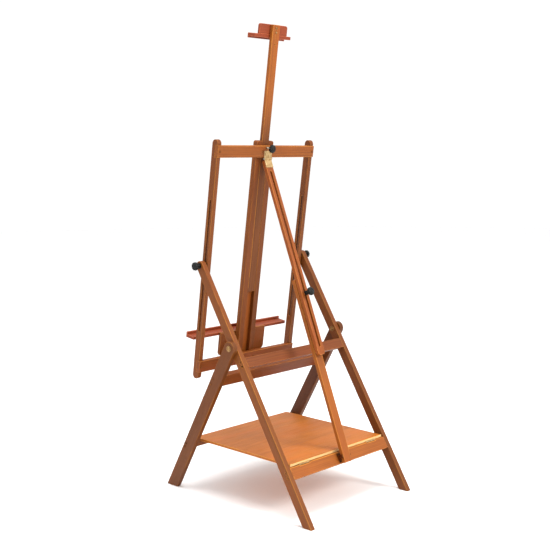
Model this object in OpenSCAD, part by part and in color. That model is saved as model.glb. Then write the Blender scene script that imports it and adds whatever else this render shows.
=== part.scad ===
// Tripod field easel: crossed timber legs, a tilting and lifting canvas
// frame held by two side knobs, a sliding mast with a top canvas holder,
// a telescoping rear strut and a hinged shelf.
// All sizes in millimetres. +Z is up, +X is the painter's right and +Y is
// the rear. The origin is at the floor, at the centre of the footprint.

/* [Frame] */
// Which node to draw
// Clear width between the two rear legs
inner_w = 520; // [420:10:620]
// Height of the side knob axis above the floor
clamp_h = 862; // [780:1:940]
// Lean of the rear legs from upright
rear_lean = 31.6; // [28:0.1:34]
// Lean of the front legs from upright
front_lean = 29.8; // [27:0.1:32]
// Distance from the knob axis down the rear leg to the leg pivot
pivot_s = 332; // [310:1:350]

/* [Legs] */
// Thickness of the rear legs across the easel
rear_leg_t = 20; // [18:1:24]
// Depth of the rear legs seen from the side
rear_leg_d = 35; // [30:1:40]
// Thickness of the front legs across the easel
front_leg_t = 19.5; // [18:0.5:24]
// Depth of the front legs seen from the side
front_leg_d = 50; // [44:1:54]
// Thickness of the four cross rails
rail_t = 20; // [16:1:22]
// Height of the upper rear rail
upper_rear_rail_h = 38; // [30:1:44]
// Height of the lower rear rail before its top is bevelled
lower_rear_rail_h = 50; // [44:1:54]
// Height of the upper front rail
upper_front_rail_h = 52; // [40:1:56]

/* [Shelf] */
// Height of the shelf's top face above the floor
shelf_z = 198.5; // [190:0.5:206]
// Thickness of the shelf board
shelf_t = 9; // [6:0.5:12]
// Width of the shelf board
shelf_w = 508; // [400:2:512]

/* [Canvas frame] */
// Backward tilt of the canvas frame
panel_tilt = 8.5; // [6:0.1:10]
// Reach of the frame above the knob axis
stile_up = 464; // [450:1:470]
// Reach of the frame below the knob axis
stile_down = 440; // [430:1:446]
// Width of each stile
stile_w = 18; // [16:1:20]
// Depth of each stile
stile_d = 30; // [28:1:34]
// Height of the two frame rails
panel_rail_h = 44; // [40:1:48]
// Width of the mast board
mast_w = 86; // [76:1:96]
// Width of the sliding mast
slider_w = 36; // [30:1:40]
// Depth of the sliding mast
slider_d = 14; // [12:0.5:14.4]
// Height of the sliding mast's top above the knob axis
slider_top = 885; // [700:1:900]
// Length of the sliding mast
slider_len = 1011; // [800:1:1050]

/* [Canvas supports] */
// Length of the lower ledge
ledge_l = 500; // [400:2:508]
// Depth of the lower ledge
ledge_d = 43; // [36:1:50]
// Width of the backing block under the ledge
block_w = 240; // [200:2:260]
// Length of the top holder's ledge
holder_l = 188; // [160:1:200]
// Width of the top holder's upright plate
holder_w = 144; // [120:1:150]

/* [Strut] */
// Width of the strut members
strut_w = 36; // [32:1:38]
// Thickness of each strut member
strut_t = 14.5; // [12:0.5:15]
// Length of the upper strut member
strut_up_len = 762; // [720:1:780]
// Length of the lower strut member above its pivot
strut_low_len = 668; // [640:1:690]

/* [Knobs] */
// Diameter of every hand knob
knob_d = 31; // [28:0.5:36]
// Thickness of every hand knob
knob_t = 16; // [14:0.5:20]

/* [Hidden] */
$fn = 48;
fit = 0.05;                    // radial running fit on pins
rx0 = inner_w/2;               // inner face of a rear leg
rx1 = rx0 + rear_leg_t;        // outer face of a rear leg
fx0 = rx1 + 0.5;               // inner face of a front leg
fx1 = fx0 + front_leg_t;       // outer face of a front leg
pivot_y = pivot_s*sin(rear_lean);
pivot_z = clamp_h - pivot_s*cos(rear_lean);
rear_len = clamp_h/cos(rear_lean);
front_len = pivot_z/cos(front_lean);
y_front = pivot_y - pivot_z*tan(front_lean) - front_leg_d/2/cos(front_lean);
y_rear = clamp_h*tan(rear_lean) + rear_leg_d/2/cos(rear_lean);
y_mid = (y_front + y_rear)/2;
// rear rails, measured down the leg from the knob axis
ra_s = 381;
rc_s = 843;
r_off = rear_leg_d/2;          // rear faces flush with the legs
// front rails, measured down the leg from the pivot
fb_s = 138;
fd_s = 489;
f_off = -front_leg_d/2;        // front faces flush with the legs
shelf_front = -73;
shelf_rear = (clamp_h - shelf_z)*tan(rear_lean) + r_off/cos(rear_lean) - 1;
hinge_y = shelf_rear + 2.7;
hinge_z = shelf_z - shelf_t - 0.15;
hinge_x = 185;
// canvas frame offsets measured to the rear of the knob axis
st_x1 = rx0 - 6;
st_x0 = st_x1 - stile_w;
pr_front = 2;
pr_rear = 20;
tr_s = stile_up - 20 - panel_rail_h;
br_s = -stile_down + 28;
mb_t = 7;
bt_t = 15;
mb_rear = pr_front;
ch_w = slider_w + 1.2;
slot_w = 9;
slot_a = -250;
slot_b = 240;
k_x = 8;                       // mast knob, across
k_s = tr_s + panel_rail_h - 8;
k_off = 20;                    // mast and strut knob stand-off
sk_off = 12;                   // side knob stand-off
// strut: head hinge R, foot pivot Q
R_s = tr_s - 4.5;
R_off = pr_rear + 2;
R_y = R_s*sin(panel_tilt) + R_off*cos(panel_tilt);
R_z = clamp_h + R_s*cos(panel_tilt) - R_off*sin(panel_tilt);
foot_off = r_off + 21;
foot_s = 822;
Q_y = foot_s*sin(rear_lean) + foot_off*cos(rear_lean);
Q_z = clamp_h - foot_s*cos(rear_lean) + foot_off*sin(rear_lean);
gap = 4;
st_h = 2 + strut_t + gap + strut_t/2;
RQ = sqrt(pow(Q_y-R_y,2) + pow(R_z-Q_z,2));
strut_a = atan2(Q_y-R_y, R_z-Q_z) + asin(st_h/RQ);
RQ_l = sqrt(RQ*RQ - st_h*st_h);
bolt_l = strut_low_len - 62;   // clamp bolt above the foot pivot
foot_ext = 25;                 // timber below the foot pivot

oak = [0.72, 0.40, 0.20];
dark = [0.55, 0.28, 0.14];
ply = [0.82, 0.50, 0.27];
steel = [0.72, 0.71, 0.68];
brass = [0.78, 0.66, 0.38];
black = [0.10, 0.10, 0.11];

module rear_f() translate([0, -y_mid, clamp_h]) rotate([rear_lean, 0, 0]) children();
module front_f() translate([0, pivot_y - y_mid, pivot_z]) rotate([-front_lean, 0, 0]) children();
module panel_f() translate([0, -y_mid, clamp_h]) rotate([-panel_tilt, 0, 0]) children();
module strut_f() translate([0, R_y - y_mid, R_z]) rotate([strut_a, 0, 0]) children();
module foot_f() translate([0, Q_y - y_mid, Q_z]) rotate([strut_a, 0, 0]) children();
module above_floor() intersection() {
    children();
    translate([-600, -1000, 0]) cube([1200, 2000, 2200]);
}
// box from one corner to the other
module bx(a, b) translate([min(a[0],b[0]), min(a[1],b[1]), min(a[2],b[2])])
    cube([abs(b[0]-a[0]), abs(b[1]-a[1]), abs(b[2]-a[2])]);
// cylinders along X and along Y
module xc(r, x0, x1, y=0, z=0) translate([min(x0,x1), y, z]) rotate([0, 90, 0]) cylinder(r=r, h=abs(x1-x0));
module yc(r, y0, y1, x=0, z=0) translate([x, max(y0,y1), z]) rotate([90, 0, 0]) cylinder(r=r, h=abs(y1-y0));
// plate in the XZ plane with its top or bottom corners rounded
module plate(w, y0, y1, z0, z1, r, top=true) {
    zc = top ? z1 - r : z0 + r;
    union() {
        if (top) bx([-w/2, y0, z0], [w/2, y1, z1-r]);
        else bx([-w/2, y0, z0+r], [w/2, y1, z1]);
        bx([-w/2+r, y0, z0], [w/2-r, y1, z1]);
        for (s=[-1,1]) yc(r, y0, y1, s*(w/2-r), zc);
    }
}

// ---- rear frame ----
// screws from the outer leg faces into the rear rails: [distance down leg, offset]
rsc = [[ra_s+11, r_off-10], [ra_s+28, r_off-10], [rc_s-13, r_off-10], [rc_s-30, r_off-10]];
module rear_leg(sx) color(oak) above_floor() rear_f() difference() {
    union() {
        bx([sx*rx0, -rear_leg_d/2, -rear_len-20], [sx*rx1, rear_leg_d/2, 0]);
        xc(rear_leg_d/2, sx*rx0, sx*rx1);
    }
    xc(4+fit, sx*(rx0-1), sx*(rx1+1));
    xc(4+fit, sx*(rx0-1), sx*(rx1+1), 0, -pivot_s);
    for (p=rsc) {
        xc(2.1, sx*(rx0-1), sx*(rx1+1), p[1], -p[0]);
        xc(4.35, sx*(rx1-1.95), sx*(rx1+1), p[1], -p[0]);
    }
}
module upper_rear_rail() color(oak) rear_f() difference() {
    bx([-rx0, r_off-rail_t, -ra_s-upper_rear_rail_h], [rx0, r_off, -ra_s]);
    for (p=[rsc[0],rsc[1]], sx=[-1,1]) xc(2.1, sx*(rx0-22), sx*(rx0+1), p[1], -p[0]);
}
module lower_rear_rail() color(oak) difference() {
    rear_f() bx([-rx0, r_off-rail_t, -rc_s], [rx0, r_off, -rc_s+lower_rear_rail_h+20]);
    bx([-rx0-1, -400, shelf_z-shelf_t-0.3], [rx0+1, 900, shelf_z+200]);
    for (sx=[-1,1]) at_hinge(sx) {
        bx([-25.2, -17.2, -1.6], [25.2, 20, 3]);
        bx([-25.8, -3.3, -2.8], [25.8, 20, 3]);
        for (x=[-16,16]) translate([x, -11, -8.2]) cylinder(r=1.6, h=9);
    }
    for (p=[rsc[2],rsc[3]], sx=[-1,1]) rear_f() xc(2.1, sx*(rx0-22), sx*(rx0+1), p[1], -p[0]);
    for (sx=[-1,1], z=[-9,9]) rear_f() yc(1.8, r_off-12, r_off+1, sx*12, -foot_s+z);
}
module screw_x(sx, x, y, z) {
    xc(4.2, sx*x, sx*(x+1.6), y, z);
    xc(2, sx*(x-36), sx*(x+0.4), y, z);
}
module rear_frame_screws() color(brass) rear_f()
    for (p=rsc, sx=[-1,1]) difference() {
        screw_x(sx, rx1-1.9, p[1], -p[0]);
        bx([sx*(rx1-1), p[1]-3.4, -p[0]-0.5], [sx*(rx1+0.2), p[1]+3.4, -p[0]+0.5]);
    }
module leg_pivot_bolts() color(steel) rear_f() for (sx=[-1,1]) {
    xc(4, sx*(rx0-8), sx*(fx1+1.8), 0, -pivot_s);
    difference() {
        translate([sx > 0 ? rx0-7.2 : -rx0+1.7, 0, -pivot_s]) rotate([0, 90, 0]) cylinder(r=7.5, h=5.5, $fn=6);
        xc(4+fit, sx*(rx0-9), sx*(rx0+1), 0, -pivot_s);
    }
    difference() {
        xc(10, sx*(rx0-1.5), sx*(rx0-0.1), 0, -pivot_s);
        xc(4+fit, sx*(rx0-2), sx*(rx0+1), 0, -pivot_s);
    }
    difference() {
        union() {
            xc(9, sx*(fx1+1.7), sx*(fx1+3.2), 0, -pivot_s);
            xc(7.4, sx*(fx1+3.1), sx*(fx1+5), 0, -pivot_s);
        }
        xc(4+fit, sx*(fx1+1), sx*(fx1+1.8), 0, -pivot_s);
    }
    difference() {
        xc(11, sx*(fx1+0.2), sx*(fx1+1.6), 0, -pivot_s);
        xc(4+fit, sx*fx1, sx*(fx1+2), 0, -pivot_s);
    }
}
// U bracket that carries the foot of the strut
module strut_foot_bracket() color(steel) rear_f() {
    difference() {
        union() {
            bx([-strut_w/2-2.8, r_off, -foot_s-16], [strut_w/2+2.8, r_off+2.4, -foot_s+16]);
            for (sx=[-1,1]) {
                bx([sx*(strut_w/2+0.8), r_off, -foot_s-7.6], [sx*(strut_w/2+2.8), foot_off, -foot_s+7.6]);
                xc(7.6, sx*(strut_w/2+0.8), sx*(strut_w/2+2.8), foot_off, -foot_s);
            }
        }
        for (sx=[-1,1]) xc(4+fit, sx*(strut_w/2), sx*(strut_w/2+6), foot_off, -foot_s);
        for (sx=[-1,1], z=[-9,9]) yc(1.8, r_off-1, r_off+4, sx*12, -foot_s+z);
    }
    for (sx=[-1,1], z=[-9,9]) {
        yc(1.75, r_off-12, r_off+2.6, sx*12, -foot_s+z);
        yc(3.2, r_off+2.45, r_off+3.9, sx*12, -foot_s+z);
    }
}
module at_hinge(sx) translate([sx*hinge_x, hinge_y - y_mid, hinge_z]) children();
module shelf_hinge_fixed() color(brass) for (sx=[-1,1]) at_hinge(sx) {
    // leaf let into the rail's top, with the two outer knuckles behind the shelf's edge
    difference() {
        union() {
            bx([-25, -17, -1.55], [25, -3, -0.15]);
            for (x=[-25,9.2]) bx([x, -3.5, -1.55], [x+15.8, -1.5, -0.15]);
            xc(2.4, -25, -9.2);
            xc(2.4, 9.2, 25);
        }
        xc(1.2+fit, -30, 30);
        for (x=[-16,16]) translate([x, -11, 0]) {
            translate([0, 0, -0.95]) cylinder(r=2.7, h=2);
            translate([0, 0, -3]) cylinder(r=1.6, h=4);
        }
    }
    xc(1.2, -25.5, 25.5);
    for (x=[-16,16]) translate([x, -11, 0]) {
        translate([0, 0, -0.9]) cylinder(r=2.6, h=0.7);
        translate([0, 0, -8]) cylinder(r=1.5, h=7.3);
    }
}

// ---- front frame ----
fsc = [[fb_s+14, f_off+10], [fb_s+38, f_off+10], [fd_s-8, f_off+10], [fd_s-24, f_off+10]];
module front_leg(sx) color(dark) above_floor() front_f() difference() {
    union() {
        bx([sx*fx0, -front_leg_d/2, -front_len-40], [sx*fx1, front_leg_d/2, 0]);
        xc(front_leg_d/2, sx*fx0, sx*fx1);
    }
    xc(4+fit, sx*(fx0-1), sx*(fx1+1));
    for (p=fsc) xc(2.1, sx*(fx0-1), sx*(fx1+1), p[1], -p[0]);
}
module upper_front_rail() color(dark) front_f() difference() {
    bx([-fx0, f_off, -fb_s-upper_front_rail_h], [fx0, f_off+rail_t, -fb_s]);
    for (p=[fsc[0],fsc[1]], sx=[-1,1]) xc(2.1, sx*(fx0-22), sx*(fx0+1), p[1], -p[0]);
}
module lower_front_rail() color(dark) difference() {
    front_f() bx([-fx0, f_off, -fd_s], [fx0, f_off+rail_t, -fd_s+70]);
    bx([-fx0-1, -600, shelf_z-shelf_t-0.3], [fx0+1, 600, shelf_z+200]);
    for (p=[fsc[2],fsc[3]], sx=[-1,1]) front_f() xc(2.1, sx*(fx0-22), sx*(fx0+1), p[1], -p[0]);
}
module front_frame_screws() color(brass) front_f()
    for (p=fsc, sx=[-1,1]) difference() {
        screw_x(sx, fx1, p[1], -p[0]);
        bx([sx*(fx1+0.9), p[1]-3.4, -p[0]-0.5], [sx*(fx1+2), p[1]+3.4, -p[0]+0.5]);
    }

// ---- shelf ----
module shelf() color(ply) translate([0, -y_mid, 0]) difference() {
    union() {
        bx([-shelf_w/2, shelf_front+10, shelf_z-shelf_t], [shelf_w/2, shelf_rear, shelf_z]);
        bx([-shelf_w/2+10, shelf_front, shelf_z-shelf_t], [shelf_w/2-10, shelf_front+20, shelf_z]);
        for (sx=[-1,1]) translate([sx*(shelf_w/2-10), shelf_front+10, shelf_z-shelf_t]) cylinder(r=10, h=shelf_t);
    }
    for (sx=[-1,1]) translate([sx*hinge_x, hinge_y, hinge_z]) {
        bx([-25.2, -22.2, -2], [25.2, 2, 1.6]);
        for (x=[-16,16]) translate([x, -13, 0]) cylinder(r=1.6, h=6.1);
    }
}
module shelf_hinge_moving() color(brass) for (sx=[-1,1]) at_hinge(sx) {
    difference() {
        union() {
            bx([-25, -22, 0.15], [25, -3, 1.55]);
            bx([-8.9, -3.5, 0.15], [8.9, -1.5, 1.55]);
            xc(2.4, -8.9, 8.9);
        }
        xc(1.2+fit, -30, 30);
        for (x=[-16,16]) translate([x, -13, 0]) {
            translate([0, 0, -1]) cylinder(r=2.7, h=1.95);
            translate([0, 0, -1]) cylinder(r=1.6, h=4);
        }
    }
    for (x=[-16,16]) translate([x, -13, 0]) {
        translate([0, 0, 0.2]) cylinder(r=2.6, h=0.7);
        translate([0, 0, 0.7]) cylinder(r=1.5, h=5.2);
    }
}

// ---- side clamps ----
module clamp_bolts() color(steel) panel_f() for (sx=[-1,1]) {
    xc(4, sx*(st_x0-0.6), sx*(rx1+sk_off+2));
    xc(10, sx*(st_x0-3.4), sx*(st_x0-0.4));
}
module clamp_spacers() color(black) panel_f() for (sx=[-1,1]) {
    difference() {
        xc(12, sx*(st_x1+0.3), sx*(rx0-0.3));
        xc(4+0.02, sx*(st_x1-1), sx*(rx0+1));
    }
    difference() {
        union() { xc(11, sx*(rx1+0.3), sx*(rx1+2)); xc(8, sx*(rx1+1.9), sx*(rx1+sk_off-0.2)); }
        xc(4+0.02, sx*rx1, sx*(rx1+sk_off+1));
    }
}
// fluted hand knob along +X from x = 0
module knob() difference() {
    union() {
        xc(knob_d/2, 3, knob_t-2.5);
        translate([knob_t-2.5, 0, 0]) rotate([0, 90, 0]) cylinder(r1=knob_d/2, r2=knob_d/2-2.5, h=2.5);
        xc(9, 0, 3.2);
    }
    for (a=[0:30:359]) xc(2.4, 2.9, knob_t+1, (knob_d/2+0.9)*cos(a), (knob_d/2+0.9)*sin(a));
    translate([knob_t-1.2, 0, 0]) rotate([0, 90, 0]) cylinder(r=knob_d/2-6.5, h=2);
}
module side_knob(sx) color(black) panel_f() translate([sx*(rx1+sk_off), 0, 0]) rotate([0, 0, sx > 0 ? 0 : 180]) difference() {
    knob();
    xc(4+fit, -1, 3);
}

// ---- canvas frame ----
module stile(sx) color(dark) panel_f() difference() {
    union() {
        bx([sx*st_x0, -stile_d/2, -stile_down+stile_d/2], [sx*st_x1, stile_d/2, stile_up-stile_d/2]);
        xc(stile_d/2, sx*st_x0, sx*st_x1, 0, stile_up-stile_d/2);
        xc(stile_d/2, sx*st_x0, sx*st_x1, 0, -stile_down+stile_d/2);
    }
    bx([sx*(st_x0-1), -slot_w/2, slot_a], [sx*(st_x1+1), slot_w/2, slot_b]);
    xc(slot_w/2, sx*(st_x0-1), sx*(st_x1+1), 0, slot_a);
    xc(slot_w/2, sx*(st_x0-1), sx*(st_x1+1), 0, slot_b);
    bx([sx*(st_x0-1), pr_front, tr_s], [sx*(st_x1+1), stile_d, tr_s+panel_rail_h]);
    bx([sx*(st_x0-1), pr_front, br_s], [sx*(st_x1+1), stile_d, br_s+panel_rail_h]);
}
psx = [27, st_x0+stile_w/2];
module top_rail() color(oak) panel_f() difference() {
    bx([-st_x1, pr_front, tr_s], [st_x1, pr_rear, tr_s+panel_rail_h]);
    for (x=psx, sx=[-1,1]) yc(2.1, pr_rear-14, pr_rear+1, sx*x, tr_s+panel_rail_h/2);
    yc(4+fit, pr_front-1, pr_rear+1, k_x, k_s);
    for (x=[-13,13]) yc(1.6, pr_rear-10, pr_rear+1, x, R_s+19);
}
module bottom_rail() color(dark) panel_f() difference() {
    bx([-st_x1, pr_front, br_s], [st_x1, pr_rear, br_s+panel_rail_h]);
    for (x=psx, sx=[-1,1]) yc(2.1, pr_rear-14, pr_rear+1, sx*x, br_s+panel_rail_h/2);
}
module mast_board() color(dark) panel_f()
    plate(mast_w, mb_rear-bt_t-mb_t, mb_rear-bt_t, br_s, stile_up-4, 9);
module mast_batten(sx) color(oak) panel_f() {
    difference() {
        union() {
            bx([sx*ch_w/2, mb_rear-bt_t, br_s], [sx*mast_w/2, mb_rear, stile_up-13]);
            bx([sx*ch_w/2, mb_rear-bt_t, br_s], [sx*(mast_w/2-9), mb_rear, stile_up-4]);
            yc(9, mb_rear-bt_t, mb_rear, sx*(mast_w/2-9), stile_up-13);
        }
    }
}
module panel_screws() color(brass) panel_f()
    for (x=psx, sx=[-1,1], z=[tr_s+panel_rail_h/2, br_s+panel_rail_h/2]) difference() {
        union() {
            yc(4.2, pr_rear, pr_rear+1.4, sx*x, z);
            yc(2, pr_rear-13.5, pr_rear+0.4, sx*x, z);
        }
        bx([sx*x-3.2, pr_rear+0.8, z-0.5], [sx*x+3.2, pr_rear+2, z+0.5]);
    }
// hinge at the strut's head, frame half: leaf and two outer knuckles
module strut_head_leaf() color(brass) panel_f() translate([0, R_off, R_s]) {
    difference() {
        bx([-20, -2, 0.5], [20, -0.4, 30]);
        bx([-8.2, -3, -1], [8.2, 1, 4]);
        xc(1.75+fit, -30, 30);
        for (x=[-13,13]) yc(1.6, -3, 1, x, 19);
        yc(5.4, -3, 1, k_x, k_s-R_s);
    }
    difference() {
        union() { xc(3.5, -20, -8.2); xc(3.5, 8.2, 20); }
        xc(1.75+fit, -30, 30);
    }
    for (x=[-13,13]) { yc(2.9, -0.35, 0.7, x, 19); yc(1.55, -11, -0.3, x, 19); }
}

// ---- lower canvas support, fixed to the mast ----
lb_front = mb_rear-bt_t-mb_t;
le_s = -297;
module ledge_block() color(dark) panel_f()
    plate(block_w, lb_front-12, lb_front, -380, le_s+12, 16, false);
module lower_ledge() color(ply) panel_f()
    bx([-ledge_l/2, lb_front-12-ledge_d+7, le_s], [ledge_l/2, lb_front-12, le_s+12]);
module ledge_lip() color(dark) panel_f()
    bx([-ledge_l/2, lb_front-12-ledge_d, le_s], [ledge_l/2, lb_front-12-ledge_d+7, le_s+22]);

// ---- sliding mast and top holder ----
sl_rear = mb_rear-0.4;
sl_front = sl_rear-slider_d;
module mast_slider() color(oak) panel_f() difference() {
    bx([-slider_w/2, sl_front, slider_top-slider_len], [slider_w/2, sl_rear, slider_top]);
    for (z=[-12,-28]) yc(2.1, sl_front-1, sl_rear+1, 0, slider_top+z);
    yc(2.1, sl_front-1, sl_rear+1, 0, slider_top-70);
}
module holder_plate() color(dark) panel_f() difference() {
    plate(holder_w, sl_front-10, sl_front, slider_top-37, slider_top, 9);
    for (z=[-12,-28]) yc(2.1, sl_front-8, sl_front+1, 0, slider_top+z);
}
module holder_ledge() color(ply) panel_f() {
    bx([-holder_l/2, sl_front-32, slider_top-49], [holder_l/2, sl_front, slider_top-37]);
    bx([-holder_l/2, sl_front-38, slider_top-55], [holder_l/2, sl_front-32, slider_top-37]);
}
module holder_screws() color(brass) panel_f()
    for (z=[-12,-28]) difference() {
        union() {
            yc(4, sl_rear, sl_rear+1.4, 0, slider_top+z);
            yc(2, sl_front-7, sl_rear+0.4, 0, slider_top+z);
        }
        bx([-3, sl_rear+0.8, slider_top+z-0.5], [3, sl_rear+2, slider_top+z+0.5]);
    }
// knob and threaded stem that press on the sliding mast
module mast_knob() color(black) panel_f() translate([k_x, 0, k_s]) {
    difference() {
        translate([0, pr_rear+k_off, 0]) rotate([0, 0, 90]) knob();
        yc(4.05, pr_rear+k_off-1, pr_rear+k_off+4);
    }
    yc(4, sl_rear+0.3, pr_rear+k_off+4);
    difference() {
        yc(6.5, pr_rear+k_off-9, pr_rear+k_off-0.1);
        yc(4.02, pr_rear+k_off-10, pr_rear+k_off);
    }
}

// ---- strut ----
module strut_head_pin() color(steel) panel_f() translate([0, R_off, R_s]) {
    xc(1.75, -20.6, 20.6);
    for (sx=[-1,1]) xc(2.9, sx*20.5, sx*22);
}
module strut_upper() color(oak) strut_f() difference() {
    union() {
        bx([-strut_w/2, -2-strut_t, -strut_up_len+12], [strut_w/2, -2, -5]);
        bx([-strut_w/2+12, -2-strut_t, -strut_up_len], [strut_w/2-12, -2, -20]);
        for (sx=[-1,1]) yc(12, -2-strut_t, -2, sx*(strut_w/2-12), -strut_up_len+12);
    }
    bx([-4.5, -4-strut_t, -strut_up_len+34], [4.5, 0, -52]);
    for (z=[-strut_up_len+34, -52]) yc(4.5, -4-strut_t, 0, 0, z);
    for (x=[-12,12]) yc(1.6, -12, -1, x, -20);
}
module strut_upper_leaf() color(brass) strut_f() {
    difference() {
        union() {
            difference() {
                bx([-18, -2, -34], [18, -0.4, -0.5]);
                bx([-19, -3, -4.2], [-7.9, 1, 2]);
                bx([7.9, -3, -4.2], [19, 1, 2]);
                bx([-5.5, -3, -36], [5.5, 1, -46]);
            }
            xc(3.5, -7.9, 7.9);
        }
        xc(1.75+fit, -30, 30);
        for (x=[-12,12]) yc(1.6, -3, 1, x, -20);
    }
    for (x=[-12,12]) { yc(2.9, -0.35, 0.7, x, -20); yc(1.55, -11.5, -0.3, x, -20); }
}
module strut_foot_pin() color(steel) foot_f() {
    xc(4, -strut_w/2-4, strut_w/2+4);
    for (sx=[-1,1]) xc(5.8, sx*(strut_w/2+3.1), sx*(strut_w/2+4.8));
}
module strut_lower() color(oak) foot_f() difference() {
    union() {
        bx([-strut_w/2, -strut_t/2, -foot_ext], [strut_w/2, strut_t/2, strut_low_len-12]);
        bx([-strut_w/2+12, -strut_t/2, 20], [strut_w/2-12, strut_t/2, strut_low_len]);
        for (sx=[-1,1]) yc(12, -strut_t/2, strut_t/2, sx*(strut_w/2-12), strut_low_len-12);
    }
    xc(4+fit, -30, 30);
    // the foot is cut back so that it clears the rail as the strut swings
    rotate([rear_lean-strut_a, 0, 0]) bx([-30, -60, -120], [30, -14, -18]);
    yc(3.1, -30, 30, 0, bolt_l);
}
module strut_clamp_bolt() color(steel) foot_f() translate([0, 0, bolt_l]) {
    yc(3, -strut_t/2-1.4, strut_t/2+gap+strut_t+k_off+2);
    difference() {
        union() { yc(9, -strut_t/2-1.6, -strut_t/2-0.05); yc(7.2, -strut_t/2-4.2, -strut_t/2-1.5); }
        yc(3.05, -strut_t/2-1.4, 0);
    }
}
module strut_spacer() color(black) foot_f() translate([0, 0, bolt_l]) {
    difference() {
        union() {
            yc(9, strut_t/2+gap+strut_t+4.9, strut_t/2+gap+strut_t+6.9);
            yc(7, strut_t/2+gap+strut_t+6.8, strut_t/2+gap+strut_t+k_off-0.2);
        }
        yc(3.05, 0, 60);
    }
}
module strut_knob() color(black) foot_f() translate([0, strut_t/2+gap+strut_t+k_off, bolt_l]) difference() {
    rotate([0, 0, 90]) knob();
    yc(3.05, -1, 3);
}

rear_leg(1);  // rear_leg_right
rear_leg(-1);  // rear_leg_left
upper_rear_rail();
lower_rear_rail();
rear_frame_screws();
leg_pivot_bolts();
strut_foot_bracket();
shelf_hinge_fixed();
front_leg(1);  // front_leg_right
front_leg(-1);  // front_leg_left
upper_front_rail();
lower_front_rail();
front_frame_screws();
shelf();
shelf_hinge_moving();
clamp_bolts();
clamp_spacers();
side_knob(1);  // side_knob_right
side_knob(-1);  // side_knob_left
stile(1);  // stile_right
stile(-1);  // stile_left
top_rail();
bottom_rail();
mast_board();
mast_batten(1);  // mast_batten_right
mast_batten(-1);  // mast_batten_left
panel_screws();
strut_head_leaf();
ledge_block();
lower_ledge();
ledge_lip();
mast_slider();
holder_plate();
holder_ledge();
holder_screws();
mast_knob();
strut_head_pin();
strut_upper();
strut_upper_leaf();
strut_foot_pin();
strut_lower();
strut_clamp_bolt();
strut_spacer();
strut_knob();
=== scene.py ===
import math
import random
import zlib

import bmesh
import bpy
from mathutils import Matrix, Vector


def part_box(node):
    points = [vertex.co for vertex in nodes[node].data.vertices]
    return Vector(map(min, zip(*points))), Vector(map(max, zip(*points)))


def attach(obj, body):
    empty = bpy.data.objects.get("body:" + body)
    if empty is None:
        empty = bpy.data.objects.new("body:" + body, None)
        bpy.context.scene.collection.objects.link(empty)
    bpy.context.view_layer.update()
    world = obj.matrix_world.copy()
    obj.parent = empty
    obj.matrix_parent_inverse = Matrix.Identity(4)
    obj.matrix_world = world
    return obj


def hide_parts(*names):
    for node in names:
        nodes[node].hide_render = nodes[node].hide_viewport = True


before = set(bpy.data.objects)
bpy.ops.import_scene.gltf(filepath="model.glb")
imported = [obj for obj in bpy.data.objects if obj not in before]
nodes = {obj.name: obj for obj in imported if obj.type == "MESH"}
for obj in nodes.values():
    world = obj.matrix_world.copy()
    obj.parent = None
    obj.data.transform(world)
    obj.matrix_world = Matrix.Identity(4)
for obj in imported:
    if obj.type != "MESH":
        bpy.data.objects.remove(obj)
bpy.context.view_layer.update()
scene = bpy.context.scene


# ------------------------------------------------------------------ camera

def make_camera():
    yaw, pitch, roll = 0.797, -0.121, -0.007
    fwd = Vector((-math.sin(yaw) * math.cos(pitch), -math.cos(yaw) * math.cos(pitch), math.sin(pitch)))
    right = fwd.cross(Vector((0, 0, 1))).normalized()
    up = right.cross(fwd)
    c, s = math.cos(roll), math.sin(roll)
    r2, u2 = c * right + s * up, -s * right + c * up
    cam = bpy.data.objects.new("camera", bpy.data.cameras.new("camera"))
    scene.collection.objects.link(cam)
    m = Matrix((r2, u2, -fwd)).transposed().to_4x4()
    m.translation = Vector((2.63842, 2.50937, 1.26049))
    cam.matrix_world = m
    cam.data.sensor_width = 36.0
    cam.data.lens = 979.56 / 550 * 36.0
    cam.data.clip_end = 100
    scene.camera = cam


make_camera()

# ------------------------------------------------------------------ directions

REAR_LEAN, FRONT_LEAN, TILT, STRUT = (math.radians(a) for a in (31.6, 29.8, 8.5, 21.1465))
X = Vector((1, 0, 0))
Y = Vector((0, 1, 0))
Z = Vector((0, 0, 1))
REAR_UP = Vector((0, -math.sin(REAR_LEAN), math.cos(REAR_LEAN)))
FRONT_UP = Vector((0, math.sin(FRONT_LEAN), math.cos(FRONT_LEAN)))
PANEL_UP = Vector((0, math.sin(TILT), math.cos(TILT)))
PANEL_REAR = Vector((0, math.cos(TILT), -math.sin(TILT)))
STRUT_UP = Vector((0, -math.sin(STRUT), math.cos(STRUT)))
STRUT_REAR = Vector((0, math.cos(STRUT), math.sin(STRUT)))


# ------------------------------------------------------------------ node helpers

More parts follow.
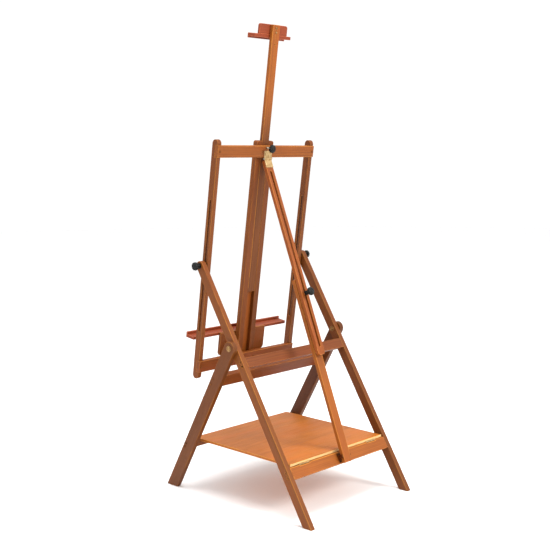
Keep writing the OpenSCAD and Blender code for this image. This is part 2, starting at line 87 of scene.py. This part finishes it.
class Tree:
    def __init__(self, tree):
        self.t = tree

    def node(self, kind, **props):
        n = self.t.nodes.new(kind)
        for k, v in props.items():
            setattr(n, k, v)
        return n

    def link(self, a, b):
        self.t.links.new(a, b)

    def put(self, value, socket):
        if isinstance(value, bpy.types.NodeSocket):
            self.link(value, socket)
        else:
            socket.default_value = value

    def math(self, op, a, b=None, c=None, clamp=False):
        n = self.node("ShaderNodeMath", operation=op, use_clamp=clamp)
        for i, v in enumerate((a, b, c)):
            if v is not None:
                self.put(v, n.inputs[i])
        return n.outputs[0]

    def vmath(self, op, a, b=None):
        n = self.node("ShaderNodeVectorMath", operation=op)
        for i, v in enumerate((a, b)):
            if v is not None:
                self.put(v, n.inputs[i])
        return n.outputs["Value"] if op in ("DOT_PRODUCT", "LENGTH") else n.outputs["Vector"]

    def noise(self, vec, scale, detail=2.0, rough=0.5, distortion=0.0):
        n = self.node("ShaderNodeTexNoise")
        self.put(vec, n.inputs["Vector"])
        n.inputs["Scale"].default_value = scale
        n.inputs["Detail"].default_value = detail
        n.inputs["Roughness"].default_value = rough
        n.inputs["Distortion"].default_value = distortion
        return n.outputs["Fac"]

    def ramp(self, fac, stops, interp="LINEAR"):
        n = self.node("ShaderNodeValToRGB")
        n.color_ramp.interpolation = interp
        e = n.color_ramp.elements
        while len(e) < len(stops):
            e.new(0.5)
        for el, (pos, col) in zip(e, stops):
            el.position = pos
            el.color = col if hasattr(col, "__len__") else (col, col, col, 1)
        self.put(fac, n.inputs["Fac"])
        return n.outputs["Color"]

    def remap(self, v, a, b, c, d, smooth=False):
        n = self.node("ShaderNodeMapRange", interpolation_type="SMOOTHSTEP" if smooth else "LINEAR")
        self.put(v, n.inputs["Value"])
        for name, x in zip(("From Min", "From Max", "To Min", "To Max"), (a, b, c, d)):
            n.inputs[name].default_value = x
        return n.outputs["Result"]

    def mix(self, fac, a, b, mode="MIX"):
        n = self.node("ShaderNodeMix", data_type="RGBA", blend_type=mode, clamp_factor=True)
        self.put(fac, n.inputs[0])
        self.put(a, n.inputs[6])
        self.put(b, n.inputs[7])
        return n.outputs[2]

    def combine(self, x, y, z):
        n = self.node("ShaderNodeCombineXYZ")
        for v, s in zip((x, y, z), n.inputs):
            self.put(v, s)
        return n.outputs[0]


def new_material(name):
    m = bpy.data.materials.new(name)
    m.use_nodes = True
    t = Tree(m.node_tree)
    bsdf = m.node_tree.nodes["Principled BSDF"]
    return m, t, bsdf


def lin(r, g, b):
    f = lambda c: (c / 255 / 12.92) if c <= 10.3 else ((c / 255 + 0.055) / 1.055) ** 2.4
    return (f(r), f(g), f(b), 1)


def scaled(c, k):
    return (min(c[0] * k, 1), min(c[1] * k, 1), min(c[2] * k, 1), 1)


# ------------------------------------------------------------------ wood

# early wood, late wood, fleck
TONES = {
    "orange": (lin(156, 85, 24), lin(116, 57, 12), lin(76, 33, 5)),
    "brown": (lin(126, 65, 15), lin(93, 45, 8), lin(60, 26, 4)),
    "red": (lin(142, 62, 30), lin(106, 42, 16), lin(70, 26, 8)),
    "amber": (lin(152, 78, 24), lin(112, 52, 12), lin(74, 30, 6)),
    "ply": (lin(180, 104, 32), lin(146, 78, 20), lin(100, 50, 11)),
}


def wood_material(name, along, across, origin, tone, worn=False, tone_and_shade_gain=1.0, ply=False, painted_shade_ramp=None, lit_channel_half_width=0.0):
    rnd = random.Random(zlib.crc32(name.encode()))
    m, t, bsdf = new_material(name + ("_worn_and_lit_edge" if worn else "_wood"))
    normal = along.cross(across)
    coord = t.node("ShaderNodeTexCoord").outputs["Object"]
    local = t.vmath("SUBTRACT", coord, tuple(origin))
    # metres along the grain, across it and through it
    a = t.vmath("DOT_PRODUCT", local, tuple(along))
    b = t.vmath("DOT_PRODUCT", local, tuple(across))
    c = t.vmath("DOT_PRODUCT", local, tuple(normal))
    shift = (rnd.uniform(-5, 5), rnd.uniform(-5, 5), rnd.uniform(-5, 5))

    def stretched(ka, kb, kc, i=0):
        return t.combine(
            t.math("MULTIPLY_ADD", a, ka, shift[0] + 3.1 * i),
            t.math("MULTIPLY_ADD", b, kb, shift[1] + 1.7 * i),
            t.math("MULTIPLY_ADD", c, kc, shift[2] - 2.3 * i),
        )

    # the grain wanders a few millimetres along a board
    wander = t.noise(stretched(2.2, 9, 9, 1), 1.0, 2.0)
    wander2 = t.noise(stretched(6.5, 26, 26, 2), 1.0, 1.0)
    off = t.math("ADD", t.remap(wander, 0.25, 0.75, -0.006, 0.006), t.remap(wander2, 0.25, 0.75, -0.0012, 0.0012))
    ang = rnd.uniform(0.25, 1.2) * rnd.choice((-1, 1))
    far = rnd.uniform(0.045, 0.12)
    pith_b, pith_c = far * math.sin(ang), far * math.cos(ang)
    db = t.math("ADD", t.math("ADD", b, pith_b), off)
    dc = t.math("ADD", c, pith_c)
    radius = t.math("SQRT", t.math("ADD", t.math("MULTIPLY", db, db), t.math("MULTIPLY", dc, dc)))
    spacing = rnd.uniform(0.0026, 0.0042)
    rings = t.math("FRACT", t.math("MULTIPLY", radius, 1 / spacing))
    ring = t.ramp(rings, [(0.0, 0.0), (0.55, 0.18), (0.86, 0.85), (0.93, 1.0), (1.0, 0.05)])
    ring_amount = t.remap(t.noise(stretched(1.2, 14, 14, 5), 1.0, 1.0), 0.3, 0.7, 0.30, 0.62)
    fibre = t.noise(stretched(26, 900, 900, 3), 1.0, 3.0, 0.6)
    fibre_soft = t.noise(stretched(7, 170, 170, 4), 1.0, 2.0, 0.55)
    broad = t.noise(stretched(2.0, 20, 20, 6), 1.0, 2.0, 0.5)
    patch = t.noise(stretched(5, 8, 8, 7), 1.0, 3.0, 0.55)
    fleck_n = t.noise(stretched(120, 1500, 420, 8), 1.0, 1.0)
    fleck = t.remap(fleck_n, 0.66, 0.76, 0.0, 1.0, True)

    light, dark, deep = TONES[tone]
    # the gain carries the board's tone together with painted shade
    light, dark, deep = scaled(light, tone_and_shade_gain), scaled(dark, tone_and_shade_gain), scaled(deep, tone_and_shade_gain)
    fac = t.math("ADD", t.math("MULTIPLY", ring, ring_amount), t.remap(fibre_soft, 0.3, 0.72, -0.08, 0.34), clamp=True)
    col = t.mix(fac, light, dark)
    col = t.mix(t.remap(fibre, 0.5, 0.78, 0.0, 0.42, True), col, dark)
    col = t.mix(t.math("MULTIPLY", fleck, 0.45), col, deep)
    # warm and cool streaks, heart and sap wood
    warm = scaled((light[0] * 1.12, light[1] * 0.90, light[2] * 0.74, 1), 1.0)
    col = t.mix(t.remap(broad, 0.42, 0.68, 0.0, 0.55, True), col, t.mix(0.55, warm, dark))
    value = t.remap(t.math("ADD", t.math("MULTIPLY", broad, 0.5), t.math("MULTIPLY", patch, 0.5)), 0.34, 0.66, 0.84, 1.14)
    col = t.mix(1.0, col, t.combine(value, value, value), "MULTIPLY")
    tc = t.node("ShaderNodeTexCoord").outputs["Normal"]
    if painted_shade_ramp:
        # painted shade: darker toward the slider's lower end, where the mast lies in shade, set to match the look of
        # the mast
        f = t.remap(a, painted_shade_ramp[0], painted_shade_ramp[1], painted_shade_ramp[2], 1.0, True)
        col = t.mix(1.0, col, t.combine(f, f, t.math("POWER", f, 1.1)), "MULTIPLY")
    if lit_channel_half_width:
        # painted light: the channel floor is made paler to cancel the shade that falls in the recess, set to match the
        # look of the recess
        inside = t.remap(t.math("ABSOLUTE", b), lit_channel_half_width - 0.0006, lit_channel_half_width, 1.0, 0.0)
        rear = t.remap(t.vmath("DOT_PRODUCT", tc, tuple(normal)), 0.5, 0.8, 0.0, 1.0)
        painted_light_mask = t.math("MULTIPLY", inside, rear)
        col = t.mix(painted_light_mask, col, t.mix(0.35, scaled(light, 1.45), col))
    if ply:
        # veneers seen on the board's own edges
        side = t.math("SUBTRACT", 1.0, t.math("ABSOLUTE", t.vmath("DOT_PRODUCT", tc, tuple(normal))), clamp=True)
        side = t.remap(side, 0.25, 0.6, 0.0, 1.0, True)
        layer = t.math("FRACT", t.math("MULTIPLY", c, 1 / 0.0036))
        stripes = t.ramp(layer, [(0.0, 0.0), (0.42, 0.0), (0.5, 1.0), (0.92, 1.0), (1.0, 0.0)])
        glue = t.remap(t.math("ABSOLUTE", t.math("SUBTRACT", layer, 0.46)), 0.0, 0.05, 1.0, 0.0)
        end = t.mix(stripes, scaled(light, 1.05), scaled(dark, 0.86))
        end = t.mix(t.math("MULTIPLY", glue, 0.6), end, deep)
        col = t.mix(t.math("MULTIPLY", side, 0.9), col, end)
        # painted highlight: the rear edge is made pale cream as a guess at the bright line of light seen along it
        painted_highlight_edge = t.mix(t.remap(fibre, 0.4, 0.7, 0.0, 1.0), lin(226, 190, 132), lin(196, 152, 92))
        col = t.mix(t.remap(t.vmath("DOT_PRODUCT", tc, tuple(across)), 0.6, 0.8, 0.0, 1.0), col, painted_highlight_edge)
    # grime in the corners of the grain; on the eased edges, handling wear together with painted highlight
    mark = t.noise(stretched(9, 60, 60, 9), 1.0, 4.0, 0.65)
    if worn:
        # eased edges made much paler and yellower: wear together with a painted highlight of light catching them
        wear_and_highlight = t.remap(mark, 0.34, 0.56, 0.0, 1.0, True)
        col = t.mix(t.math("MULTIPLY", wear_and_highlight, 0.75), col, scaled((light[0] * 1.0, light[1] * 1.42, light[2] * 2.0, 1), 1.9))
        rough = t.remap(wear_and_highlight, 0.0, 1.0, 0.44, 0.64)
    else:
        col = t.mix(t.remap(mark, 0.6, 0.78, 0.0, 0.22, True), col, deep)
        rough = t.remap(t.math("ADD", t.math("MULTIPLY", fibre, 0.5), t.math("MULTIPLY", mark, 0.5)), 0.3, 0.7, 0.44, 0.62)
    t.link(col, bsdf.inputs["Base Color"])
    t.link(rough, bsdf.inputs["Roughness"])
    height = t.math(
        "SUBTRACT",
        t.math("MULTIPLY", fibre, 0.6),
        t.math("ADD", t.math("MULTIPLY", ring, 0.35), t.math("MULTIPLY", fleck, 0.5)),
    )
    bump = t.node("ShaderNodeBump")
    bump.inputs["Strength"].default_value = 0.30
    bump.inputs["Distance"].default_value = 0.0003
    t.link(height, bump.inputs["Height"])
    t.link(bump.outputs["Normal"], bsdf.inputs["Normal"])
    bsdf.inputs["IOR"].default_value = 1.5
    bsdf.inputs["Specular IOR Level"].default_value = 0.24
    bsdf.inputs["Coat Weight"].default_value = 0.02
    bsdf.inputs["Coat Roughness"].default_value = 0.28
    return m


# ------------------------------------------------------------------ metal and plastic

def metal_material(name, base, dark, rough=(0.22, 0.42), brushed=None):
    m, t, bsdf = new_material(name)
    coord = t.node("ShaderNodeTexCoord").outputs["Object"]
    cloud = t.noise(coord, 90, 4.0, 0.6)
    fine = t.noise(coord, 900, 3.0, 0.6)
    scr = t.node("ShaderNodeMapping")
    scr.inputs["Scale"].default_value = brushed or (60, 1400, 1400)
    t.link(coord, scr.inputs["Vector"])
    lines = t.noise(scr.outputs["Vector"], 1.0, 2.0, 0.6)
    col = t.mix(t.remap(cloud, 0.4, 0.72, 0.0, 0.75, True), base, dark)
    col = t.mix(t.remap(fine, 0.58, 0.74, 0.0, 0.45, True), col, scaled(dark, 0.7))
    t.link(col, bsdf.inputs["Base Color"])
    r = t.remap(t.math("ADD", t.math("MULTIPLY", cloud, 0.5), t.math("MULTIPLY", lines, 0.5)), 0.3, 0.7, rough[0], rough[1])
    t.link(r, bsdf.inputs["Roughness"])
    bsdf.inputs["Metallic"].default_value = 1.0
    bump = t.node("ShaderNodeBump")
    bump.inputs["Strength"].default_value = 0.22
    bump.inputs["Distance"].default_value = 0.0001
    t.link(t.math("ADD", lines, fine), bump.inputs["Height"])
    t.link(bump.outputs["Normal"], bsdf.inputs["Normal"])
    return m


def plastic_material(name, base, worn=False):
    m, t, bsdf = new_material(name)
    coord = t.node("ShaderNodeTexCoord").outputs["Object"]
    grain = t.noise(coord, 1600, 2.0, 0.5)
    cloud = t.noise(coord, 110, 4.0, 0.6)
    dust = t.noise(coord, 420, 4.0, 0.65)
    light = (base[0] + 0.003, base[1] + 0.0035, base[2] + 0.003, 1)
    col = t.mix(t.remap(cloud, 0.4, 0.7, 0.0, 0.8, True), base, light)
    col = t.mix(t.remap(dust, 0.62, 0.8, 0.0, 0.35 if not worn else 0.7, True), col, (0.016, 0.016, 0.014, 1))
    t.link(col, bsdf.inputs["Base Color"])
    t.link(t.remap(cloud, 0.3, 0.7, 0.34, 0.52), bsdf.inputs["Roughness"])
    bump = t.node("ShaderNodeBump")
    bump.inputs["Strength"].default_value = 0.25
    bump.inputs["Distance"].default_value = 0.00012
    t.link(grain, bump.inputs["Height"])
    t.link(bump.outputs["Normal"], bsdf.inputs["Normal"])
    bsdf.inputs["IOR"].default_value = 1.45
    bsdf.inputs["Specular IOR Level"].default_value = 0.30
    return m


BRASS = metal_material("brass_plated", lin(196, 166, 118), lin(136, 100, 60), (0.28, 0.46))
BRASS_EDGE = metal_material("brass_plated_edge", lin(226, 206, 162), lin(180, 150, 104), (0.22, 0.36))
AGED = metal_material("aged_brass", lin(160, 122, 78), lin(104, 72, 40), (0.34, 0.52))
AGED_EDGE = metal_material("aged_brass_edge", lin(196, 164, 116), lin(140, 106, 64), (0.28, 0.42))
BRONZE = metal_material("bronzed_steel", lin(118, 70, 36), lin(74, 40, 20), (0.40, 0.60))
BRONZE_EDGE = metal_material("bronzed_steel_edge", lin(150, 98, 56), lin(100, 60, 32), (0.34, 0.50))
STEEL = metal_material("zinc_plated", lin(186, 180, 164), lin(132, 126, 112), (0.26, 0.46))
STEEL_EDGE = metal_material("zinc_plated_edge", lin(216, 212, 200), lin(170, 164, 150), (0.22, 0.36))
BLACK = plastic_material("black_moulded", (0.0022, 0.0026, 0.0022, 1))
BLACK_EDGE = plastic_material("black_moulded_edge", (0.005, 0.0055, 0.005, 1), True)


# ------------------------------------------------------------------ CAD nodes: softened edges and materials

def dress(name, main, edge, width, segments=3, angle=38):
    o = nodes[name]
    me = o.data
    me.materials.clear()
    me.materials.append(main)
    me.materials.append(edge)
    for n in ("custom_normal", "sharp_edge", "sharp_face"):
        if n in me.attributes:
            me.attributes.remove(me.attributes[n])
    for p in me.polygons:
        p.use_smooth = True
        p.material_index = 0
    weld = o.modifiers.new("join_faces", "WELD")
    weld.merge_threshold = 0.00001
    flat = o.modifiers.new("merge_flats", "DECIMATE")
    flat.decimate_type = "DISSOLVE"
    flat.angle_limit = math.radians(0.5)
    bev = o.modifiers.new("eased_edges", "BEVEL")
    bev.width = width
    bev.segments = segments
    bev.limit_method = "ANGLE"
    bev.angle_limit = math.radians(angle)
    bev.use_clamp_overlap = False
    bev.harden_normals = True
    bev.material = 1
    bev.miter_outer = "MITER_SHARP"
    return o


def centre(name):
    a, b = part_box(name)
    return (Vector(a) + Vector(b)) / 2


WOODS = {
    # node: (along, across, tone, tone_and_shade_gain, edge radius); the gain holds the board's own tone together with
    # painted shade, lower on boards in shade such as the front legs and the left rear leg
    "rear_leg_right": (REAR_UP, X, "orange", 0.64, 0.0016),
    "rear_leg_left": (REAR_UP, X, "orange", 0.50, 0.0016),
    "upper_rear_rail": (X, REAR_UP, "amber", 0.58, 0.0014),
    "lower_rear_rail": (X, REAR_UP, "orange", 0.98, 0.0014),
    "front_leg_right": (FRONT_UP, X, "orange", 0.46, 0.0016),
    "front_leg_left": (FRONT_UP, X, "brown", 0.55, 0.0016),
    "upper_front_rail": (X, FRONT_UP, "amber", 0.70, 0.0014),
    "lower_front_rail": (X, FRONT_UP, "orange", 0.7, 0.0014),
    "shelf": (X, Y, "ply", 1.0, 0.0008),
    "stile_right": (PANEL_UP, X, "brown", 0.9, 0.0014),
    "stile_left": (PANEL_UP, X, "brown", 0.84, 0.0014),
    "top_rail": (X, PANEL_UP, "orange", 0.80, 0.0014),
    "bottom_rail": (X, PANEL_UP, "amber", 0.74, 0.0014),
    "mast_board": (PANEL_UP, X, "brown", 0.98, 0.001),
    "mast_batten_right": (PANEL_UP, X, "brown", 0.94, 0.001),
    "mast_batten_left": (PANEL_UP, X, "brown", 0.82, 0.001),
    "ledge_block": (PANEL_UP, X, "brown", 1.0, 0.0012),
    "lower_ledge": (X, PANEL_REAR, "red", 0.95, 0.0012),
    "ledge_lip": (X, PANEL_UP, "red", 0.96, 0.0012),
    "mast_slider": (PANEL_UP, X, "orange", 0.98, 0.0012),
    "holder_plate": (X, PANEL_UP, "red", 1.0, 0.0012),
    "holder_ledge": (X, PANEL_REAR, "red", 0.96, 0.0012),
    "strut_upper": (STRUT_UP, X, "amber", 0.92, 0.0014),
    "strut_lower": (STRUT_UP, X, "orange", 0.98, 0.0014),
}
for name, (along, across, tone, tone_and_shade_gain, width) in WOODS.items():
    mid = centre(name)
    more = {
        "shelf": {"ply": True},
        # painted shade on the slider's lower part
        "mast_slider": {"painted_shade_ramp": (0.03, 0.30, 0.50)},
        # painted light on the channel floor of the mast board
        "mast_board": {"lit_channel_half_width": 0.0186},
    }.get(name, {})
    main = wood_material(name, along, across, mid, tone, False, tone_and_shade_gain, **more)
    edge = wood_material(name, along, across, mid, tone, True, tone_and_shade_gain, **more)
    dress(name, main, edge, width)

for name in ("rear_frame_screws", "front_frame_screws", "panel_screws"):
    dress(name, BRONZE, BRONZE_EDGE, 0.00035, 2)
dress("holder_screws", AGED, AGED_EDGE, 0.00035, 2)
for name in ("shelf_hinge_fixed", "shelf_hinge_moving", "strut_head_leaf", "strut_upper_leaf"):
    dress(name, BRASS, BRASS_EDGE, 0.00025, 2)
for name in ("strut_foot_bracket", "strut_foot_pin"):
    dress(name, BRONZE, BRONZE_EDGE, 0.0004, 2)
dress("leg_pivot_bolts", AGED, AGED_EDGE, 0.0004, 2)
for name in ("clamp_bolts", "strut_head_pin", "strut_clamp_bolt"):
    dress(name, STEEL, STEEL_EDGE, 0.0004, 2)
for name in ("clamp_spacers", "strut_spacer"):
    dress(name, BLACK, BLACK_EDGE, 0.0004, 2)


# ------------------------------------------------------------------ hand knobs

def basis(axis):
    axis = axis.normalized()
    side = Vector((0, 0, 1)).cross(axis)
    if side.length < 1e-6:
        side = Vector((1, 0, 0))
    side.normalize()
    return Matrix((axis, side, axis.cross(side))).transposed()


def lathe_fluted(profile, lobes, depth, steps, rot=0.0):
    """Rings of (height, radius, flute share); a flute pulls the radius in between the lobes."""
    bm = bmesh.new()
    rings = []
    for h, r, share in profile:
        ring = []
        for i in range(steps):
            a = 2 * math.pi * i / steps + rot
            wave = 0.5 - 0.5 * math.cos(lobes * (a - rot))
            pull = depth * share * wave ** 2.2
            rr = max(r - pull, 0.0)
            ring.append(bm.verts.new((h, rr * math.cos(a), rr * math.sin(a))))
        rings.append(ring)
    for r0, r1 in zip(rings, rings[1:]):
        for i in range(steps):
            j = (i + 1) % steps
            bm.faces.new((r0[i], r0[j], r1[j], r1[i]))
    bm.faces.new(list(reversed(rings[0])))
    bm.faces.new(rings[-1])
    bmesh.ops.recalc_face_normals(bm, faces=bm.faces)
    return bm


def put(bm, name, axis, origin, materials, body, stands_for=None):
    me = bpy.data.meshes.new(name)
    bm.to_mesh(me)
    bm.free()
    o = bpy.data.objects.new(name, me)
    scene.collection.objects.link(o)
    m = basis(axis).to_4x4()
    m.translation = origin
    o.matrix_world = m
    for mat in materials:
        me.materials.append(mat)
    for p in me.polygons:
        p.use_smooth = True
    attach(o, body)
    if stands_for:
        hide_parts(stands_for)
    return o


def knob(name, axis, origin, body, stands_for, turn=0.0):
    """The knob's inner face is at the origin; it stands 16 mm out along the axis."""
    R = 0.0153
    prof = [
        (0.0, 0.0048, 0), (0.0, 0.0082, 0), (0.0003, 0.0088, 0), (0.0026, 0.0089, 0), (0.0031, 0.0096, 0),
        (0.0031, 0.0128, 0.5), (0.0034, 0.0141, 0.8), (0.0042, R - 0.0002, 1), (0.0052, R, 1), (0.0090, R, 1),
        (0.0120, R - 0.0002, 1), (0.0136, R - 0.0010, 1), (0.0149, R - 0.0026, 0.85), (0.0157, R - 0.0048, 0.4),
        (0.01595, R - 0.0060, 0.1), (0.0158, R - 0.0068, 0), (0.0150, R - 0.0074, 0), (0.0146, R - 0.0080, 0),
        (0.0146, 0.0050, 0), (0.0147, 0.0020, 0), (0.0148, 0.0006, 0),
    ]
    o = put(lathe_fluted(prof, 12, 0.0021, 144, turn), name, axis, origin, [BLACK], body, stands_for)
    # moulded plug in the middle of the face
    plug = [(0.0140, 0.0002, 0), (0.0140, 0.0047, 0), (0.0150, 0.0047, 0), (0.0153, 0.0044, 0), (0.0154, 0.0038, 0),
            (0.0154, 0.0012, 0), (0.0152, 0.0009, 0), (0.0152, 0.0002, 0)]
    put(lathe_fluted(plug, 6, 0.0, 48), name + "_plug", axis, origin, [BLACK_EDGE], body)
    return o


for side, sx in (("right", 1), ("left", -1)):
    n = "side_knob_" + side
    lo, hi = (Vector(v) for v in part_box(n))
    mid = (lo + hi) / 2
    inner = Vector((lo.x if sx > 0 else hi.x, mid.y, mid.z))
    knob("knob_body_" + side, X * sx, inner, n, n, 0.2 * sx)

n = "strut_knob"
mid = centre(n)
knob("knob_body_strut", STRUT_REAR, mid - STRUT_REAR * 0.008, n, n, 0.1)

# the CAD mast knob is the knob and its stem
MAST_KNOB_AXIS_POINT = None
lo, hi = (Vector(v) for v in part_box("mast_knob"))
verts = [v.co for v in nodes["mast_knob"].data.vertices]
far = max(v.dot(PANEL_REAR) for v in verts)
rim = [v for v in verts if v.dot(PANEL_REAR) > far - 0.013]
cx = (min(v.x for v in rim) + max(v.x for v in rim)) / 2
cu = (min(v.dot(PANEL_UP) for v in rim) + max(v.dot(PANEL_UP) for v in rim)) / 2
outer = X * cx + PANEL_UP * cu + PANEL_REAR * far
near = min(v.dot(PANEL_REAR) for v in verts)
knob("knob_body_mast", PANEL_REAR, outer - PANEL_REAR * 0.016, "mast_knob", "mast_knob", 0.05)
stem_len = (far - 0.0155) - near
stem = [(0.0, 0.0004, 0), (0.0, 0.0032, 0), (0.0006, 0.0039, 0)]
h = 0.0012
while h < stem_len - 0.0005:
    stem += [(h, 0.0039, 0), (h + 0.0004, 0.0035, 0), (h + 0.0008, 0.0039, 0)]
    h += 0.00125
stem += [(stem_len, 0.0039, 0), (stem_len, 0.0004, 0)]
put(lathe_fluted(stem, 6, 0.0, 40), "knob_stem_mast", PANEL_REAR, X * cx + PANEL_UP * cu + PANEL_REAR * near,
    [STEEL], "mast_knob")


# ------------------------------------------------------------------ floor, light

def stage_and_light():
    me = bpy.data.meshes.new("floor")
    bm = bmesh.new()
    bmesh.ops.create_circle(bm, cap_ends=True, radius=14, segments=96)
    bm.to_mesh(me)
    bm.free()
    floor = bpy.data.objects.new("floor", me)
    scene.collection.objects.link(floor)
    floor.location = (0, 0, -0.0005)
    m, t, bsdf = new_material("floor_pale")
    bsdf.inputs["Base Color"].default_value = (0.95, 0.95, 0.95, 1)
    bsdf.inputs["Roughness"].default_value = 0.8
    me.materials.append(m)

    world = bpy.data.worlds.new("studio")
    scene.world = world
    world.use_nodes = True
    bg = world.node_tree.nodes["Background"]
    bg.inputs["Color"].default_value = (1, 1, 1, 1)
    bg.inputs["Strength"].default_value = 1.04

    def area(name, loc, aim, size, power, colour=(1, 1, 1)):
        data = bpy.data.lights.new(name, "AREA")
        data.shape = "DISK"
        data.size = size
        data.energy = power
        data.color = colour
        o = bpy.data.objects.new(name, data)
        scene.collection.objects.link(o)
        o.location = loc
        o.rotation_euler = (Vector(aim) - Vector(loc)).to_track_quat("-Z", "Y").to_euler()

    area("key", (-1.2, 3.6, 3.2), (0, 0, 0.8), 1.6, 120, (1, 0.985, 0.96))
    area("top", (0.3, 0.2, 4.6), (0, 0, 0), 2.4, 150)
    area("fill", (3.8, 0.4, 1.8), (0, 0, 0.7), 2.6, 14, (0.98, 0.99, 1))


stage_and_light()
scene.view_settings.view_transform = "Standard"
scene.view_settings.look = "None"

bpy.context.view_layer.update()
